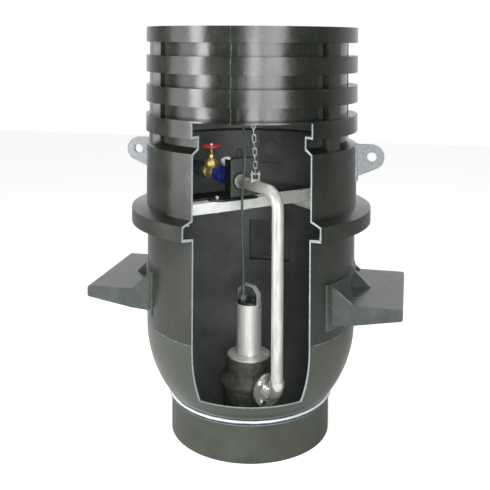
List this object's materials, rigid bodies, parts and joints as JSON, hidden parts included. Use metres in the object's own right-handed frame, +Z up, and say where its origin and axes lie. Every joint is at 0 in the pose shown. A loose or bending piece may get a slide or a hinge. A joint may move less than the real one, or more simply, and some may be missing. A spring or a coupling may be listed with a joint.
{
  "type": "sewage lifting station",
  "caption": "Domed plastic pumping chamber with ringed neck, wings and lifting lugs, cut open at the front to show a pump hung from a raised coupling with valves.",
  "frame": {"origin": "on the chamber's vertical axis, at the level of the foot ring's lower face", "axes": "+Z up along the chamber's axis, +X through the right-hand lug and wing, -Y towards the cut-open front"},
  "size_m": [1.144, 0.8762, 1.5],
  "materials": {
    "moulded_polyethylene": "glossy rotational moulding",
    "grey_polyethylene": "satin",
    "lug_plate": "pale satin sheet",
    "galvanised_steel": "pale galvanised",
    "zinc_plated_steel": "plated",
    "coated_iron": "black coated",
    "coupling_coating": "grey-green coated",
    "blue_coating": "epoxy coated",
    "brass": "cast",
    "red_enamel": "enamelled",
    "rubber": "matt",
    "pickled_stainless": "pickled and blasted",
    "polished_stainless": "polished",
    "pump_iron": "black-green paint",
    "motor_plastic": "satin",
    "cable_jacket": "grey-green",
    "copper_and_iron": "varnished",
    "steel": "ground"
  },
  "bodies": {
    "root": {"tank_shell": "moulded_polyethylene", "foot_ring": "grey_polyethylene", "foot_weld": "grey_polyethylene", "buoyancy_wing_right": "grey_polyethylene", "buoyancy_wing_left": "grey_polyethylene", "lifting_lug_right": "lug_plate", "lifting_lug_left": "lug_plate", "cross_beam": "galvanised_steel", "beam_support_right": "galvanised_steel", "beam_support_left": "galvanised_steel", "beam_bolts": "zinc_plated_steel", "coupling_body": "coated_iron", "valve_nipples": "brass", "check_valve_body": "blue_coating", "check_valve_cap": "galvanised_steel", "gate_valve_body": "brass", "gate_valve_bonnet": "brass", "packing_nut": "brass", "pipe_union": "motor_plastic", "outlet_pipe": "motor_plastic", "wall_collar": "moulded_polyethylene", "neck_hangers": "zinc_plated_steel"},
    "handwheel_set": {"gate_stem": "brass", "handwheel": "red_enamel", "handwheel_nut": "zinc_plated_steel"},
    "wedge": {"gate_wedge": "brass"},
    "ball": {"check_valve_ball": "rubber"},
    "rotor": {"rotor_shaft": "steel", "rotor_core": "steel", "impeller": "steel"},
    "pump_unit": {"coupling_plate": "coupling_coating", "coupling_seal": "rubber", "pipe_gasket": "rubber", "riser_pipe": "pickled_stainless", "pipe_bracket": "pickled_stainless", "bracket_pin": "zinc_plated_steel", "lifting_chain": "zinc_plated_steel", "chain_end_hook": "zinc_plated_steel", "motor_jacket": "polished_stainless", "jacket_flange": "polished_stainless", "motor_head": "motor_plastic", "head_plug": "motor_plastic", "cable_gland": "motor_plastic", "pump_handle": "polished_stainless", "handle_screws": "zinc_plated_steel", "motor_stator": "copper_and_iron", "motor_bearings": "steel", "shaft_seal": "steel", "volute_casing": "pump_iron", "suction_strainer": "pump_iron", "discharge_gasket": "rubber", "flange_elbow": "polished_stainless", "flange_bolts": "zinc_plated_steel", "cable_sleeve": "cable_jacket", "pump_cable": "cable_jacket", "cable_coil": "cable_jacket", "cable_tie": "motor_plastic"}
  },
  "joints": [
    {"name": "pump_lift", "type": "slide", "parent": "root", "child": "pump_unit", "axis": [0, 0, 1], "range_m": [0, 0.45]},
    {"name": "rotor_spin", "type": "hinge", "parent": "pump_unit", "child": "rotor", "pos_m": [0.01618, -0.10387, 0.33], "axis": [0, 0, 1], "continuous": true},
    {"name": "handwheel_turn", "type": "hinge", "parent": "root", "child": "handwheel_set", "pos_m": [-0.18978, 0.117, 1.018], "axis": [0, 0, 1], "range_deg": [-2016, 0]},
    {"name": "wedge_travel", "type": "slide", "parent": "root", "child": "wedge", "axis": [0, 0, 1], "range_m": [-0.031, 0]},
    {"name": "ball_lift", "type": "slide", "parent": "root", "child": "ball", "axis": [0.2882, -0.3091, 0.9063], "range_m": [0, 0.026]}
  ],
  "couplings": [
    {"joint": "wedge_travel", "follows": "handwheel_turn", "m_per_rad": 0.00087535}
  ]
}
